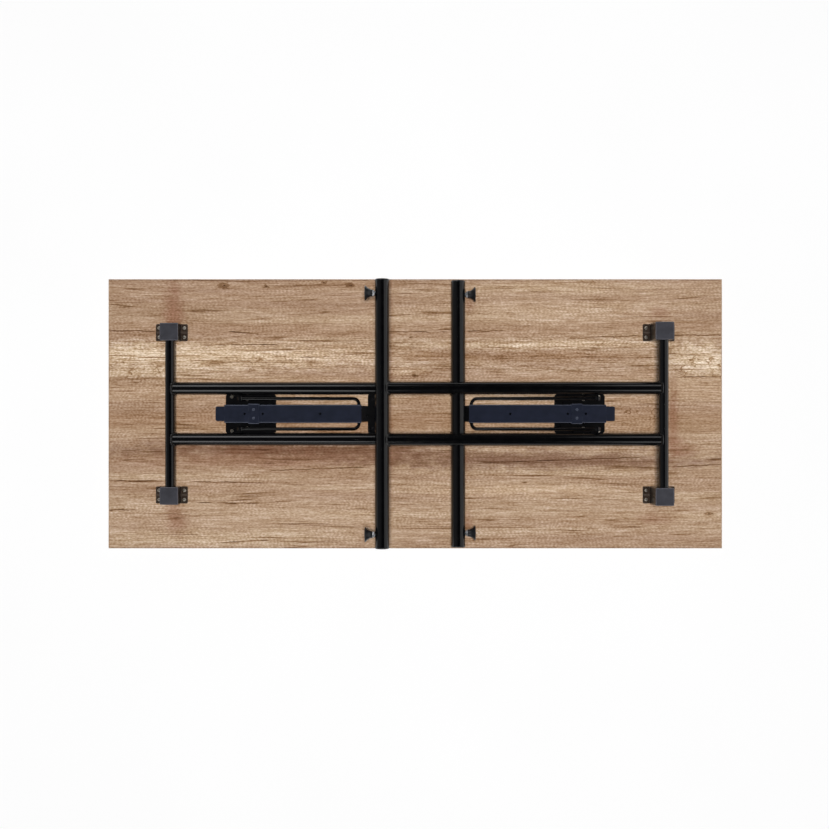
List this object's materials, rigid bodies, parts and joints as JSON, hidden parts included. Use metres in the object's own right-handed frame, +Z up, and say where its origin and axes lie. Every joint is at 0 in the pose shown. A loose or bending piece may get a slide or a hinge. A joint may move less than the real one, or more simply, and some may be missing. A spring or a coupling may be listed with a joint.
{
  "type": "folding conference table",
  "caption": "Folding conference table with a wood-look top, lying face down with its tubular leg frames folded; each swings out and locks on a sliding rod stay with a sprung latch.",
  "frame": {"origin": "centre of the work surface, on the floor: the table lies face down with its legs folded", "axes": "+X along the top from the left leg frame's pivot to the right one's, +Y across the top to the rear edge, +Z up from the work surface through the underside"},
  "size_m": [1.4, 0.614, 0.096],
  "materials": {
    "laminate": "satin rustic oak laminate on board",
    "edge_band": "satin wood-print edge band",
    "black_tube": "gloss black powder coat",
    "black_bracket": "satin black powder coat",
    "slate_lock": "satin slate grey coat",
    "nylon": "matt black nylon",
    "black_plastic": "fine-grained black plastic",
    "zinc": "bright zinc plate"
  },
  "bodies": {
    "tabletop": {"tabletop_panel": "laminate", "edge_band_rear": "edge_band", "edge_band_front": "edge_band", "edge_band_left": "edge_band", "edge_band_right": "edge_band", "left_bracket_rear": "black_bracket", "left_bush_rear": "nylon", "left_bracket_front": "black_bracket", "left_bush_front": "nylon", "left_base_plate": "black_bracket", "left_lever_pin": "zinc", "left_latch_spring": "zinc", "left_rail": "slate_lock", "left_saddle": "slate_lock", "right_bracket_rear": "black_bracket", "right_bush_rear": "nylon", "right_bracket_front": "black_bracket", "right_bush_front": "nylon", "right_base_plate": "black_bracket", "right_lever_pin": "zinc", "right_latch_spring": "zinc", "right_rail": "slate_lock", "right_saddle": "slate_lock"},
    "left_leg": {"left_pivot_bar": "black_tube", "left_foot_bar": "black_tube", "left_post_rear": "black_tube", "left_post_front": "black_tube", "left_end_cap_rear": "black_plastic", "left_end_cap_front": "black_plastic"},
    "left_runner": {"left_runner": "nylon"},
    "left_stay": {"left_stay": "black_tube", "left_stay_pin_rear": "zinc", "left_stay_pin_front": "zinc"},
    "left_latch": {"left_latch_lever": "slate_lock"},
    "left_leveller_rear": {"left_leveller_rear_pad": "black_plastic", "left_leveller_rear_stem": "zinc"},
    "left_leveller_front": {"left_leveller_front_pad": "black_plastic", "left_leveller_front_stem": "zinc"},
    "right_leg": {"right_pivot_bar": "black_tube", "right_foot_bar": "black_tube", "right_post_rear": "black_tube", "right_post_front": "black_tube", "right_end_cap_rear": "black_plastic", "right_end_cap_front": "black_plastic"},
    "right_runner": {"right_runner": "nylon"},
    "right_stay": {"right_stay": "black_tube", "right_stay_pin_rear": "zinc", "right_stay_pin_front": "zinc"},
    "right_latch": {"right_latch_lever": "slate_lock"},
    "right_leveller_rear": {"right_leveller_rear_pad": "black_plastic", "right_leveller_rear_stem": "zinc"},
    "right_leveller_front": {"right_leveller_front_pad": "black_plastic", "right_leveller_front_stem": "zinc"}
  },
  "joints": [
    {"name": "left_leg_fold", "type": "hinge", "parent": "tabletop", "child": "left_leg", "pos_m": [-0.555, 0, 0.046], "axis": [0, -1, 0], "range_deg": [0, 90]},
    {"name": "left_runner_slide", "type": "slide", "parent": "tabletop", "child": "left_runner", "axis": [-1, 0, 0], "range_m": [0, 0.221]},
    {"name": "left_stay_turn", "type": "hinge", "parent": "left_runner", "child": "left_stay", "pos_m": [-0.128, 0, 0.03275], "axis": [0, 1, 0], "range_deg": [0, 37.06]},
    {"name": "left_latch_lift", "type": "hinge", "parent": "tabletop", "child": "left_latch", "pos_m": [-0.405, 0, 0.034], "axis": [0, -1, 0], "range_deg": [0, 4.2], "stiffness_Nm_per_rad": 0.5, "springref_deg": -4.58},
    {"name": "left_leveller_rear_screw", "type": "slide", "parent": "left_leg", "child": "left_leveller_rear", "axis": [1, 0, 0], "range_m": [-0.0015, 0.012]},
    {"name": "left_leveller_front_screw", "type": "slide", "parent": "left_leg", "child": "left_leveller_front", "axis": [1, 0, 0], "range_m": [-0.0015, 0.012]},
    {"name": "right_leg_fold", "type": "hinge", "parent": "tabletop", "child": "right_leg", "pos_m": [0.555, 0, 0.079], "axis": [0, 1, 0], "range_deg": [0, 90]},
    {"name": "right_runner_slide", "type": "slide", "parent": "tabletop", "child": "right_runner", "axis": [1, 0, 0], "range_m": [0, 0.221]},
    {"name": "right_stay_turn", "type": "hinge", "parent": "right_runner", "child": "right_stay", "pos_m": [0.128, 0, 0.03275], "axis": [0, -1, 0], "range_deg": [0, 33.89]},
    {"name": "right_latch_lift", "type": "hinge", "parent": "tabletop", "child": "right_latch", "pos_m": [0.405, 0, 0.034], "axis": [0, 1, 0], "range_deg": [0, 4.2], "stiffness_Nm_per_rad": 0.5, "springref_deg": -4.58},
    {"name": "right_leveller_rear_screw", "type": "slide", "parent": "right_leg", "child": "right_leveller_rear", "axis": [-1, 0, 0], "range_m": [-0.0015, 0.012]},
    {"name": "right_leveller_front_screw", "type": "slide", "parent": "right_leg", "child": "right_leveller_front", "axis": [-1, 0, 0], "range_m": [-0.0015, 0.012]}
  ],
  "couplings": [
    {"joint": "left_runner_slide", "follows": "left_leg_fold", "m_per_rad": 0.14069},
    {"joint": "left_stay_turn", "follows": "left_leg_fold", "ratio": 0.41169},
    {"joint": "right_runner_slide", "follows": "right_leg_fold", "m_per_rad": 0.14069},
    {"joint": "right_stay_turn", "follows": "right_leg_fold", "ratio": 0.37648}
  ]
}
